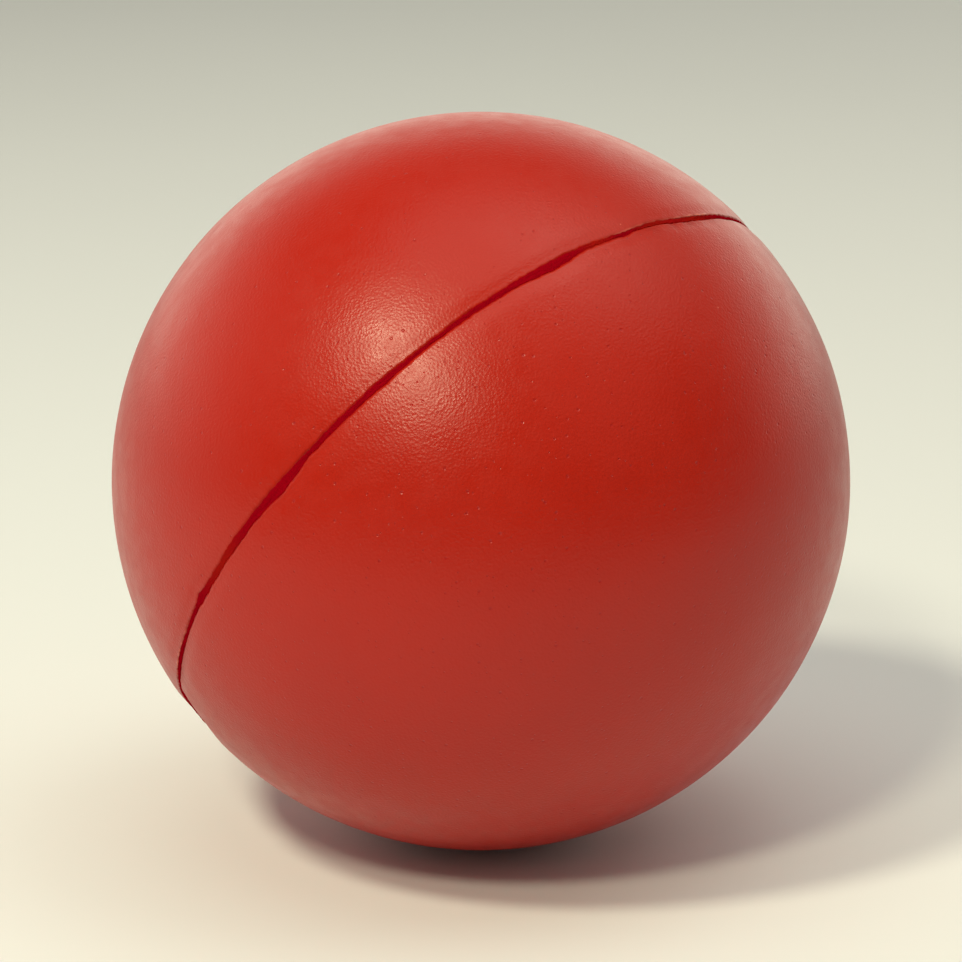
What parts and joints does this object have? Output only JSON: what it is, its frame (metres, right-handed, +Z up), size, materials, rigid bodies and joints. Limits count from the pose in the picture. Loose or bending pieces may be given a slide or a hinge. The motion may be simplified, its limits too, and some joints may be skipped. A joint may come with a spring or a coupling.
{
  "type": "stress ball",
  "caption": "Round squeezable foam ball with a satin coat and a parting groove around its middle, pressed flat between the fingers and springing back.",
  "frame": {"origin": "the point of the ball that touches the table, straight below its centre", "axes": "+Z straight up; the upper half's pole leans 52.7 degrees from +Z towards 139.7 degrees from +X in the XY plane"},
  "size_m": [0.07, 0.07, 0.07],
  "materials": {
    "coat": "satin",
    "skin_foam": "matte",
    "core_foam": "matte",
    "flash_foam": "matte"
  },
  "bodies": {
    "core": {"foam_core": "core_foam", "parting_flash": "flash_foam"},
    "upper_half": {"upper_skin": "skin_foam", "upper_coat": "coat"},
    "lower_half": {"lower_skin": "skin_foam", "lower_coat": "coat"}
  },
  "joints": [
    {"name": "squeeze_upper", "type": "slide", "parent": "core", "child": "upper_half", "axis": [0.6067, -0.5145, -0.606], "range_m": [0, 0.015], "stiffness_N_per_m": 2000, "deforming": ["upper_skin", "upper_coat", "foam_core", "parting_flash"]},
    {"name": "squeeze_lower", "type": "slide", "parent": "core", "child": "lower_half", "axis": [-0.6067, 0.5145, 0.606], "range_m": [0, 0.015], "stiffness_N_per_m": 2000, "deforming": ["lower_skin", "lower_coat"]}
  ],
  "couplings": [
    {"joint": "squeeze_lower", "follows": "squeeze_upper", "ratio": 1}
  ]
}
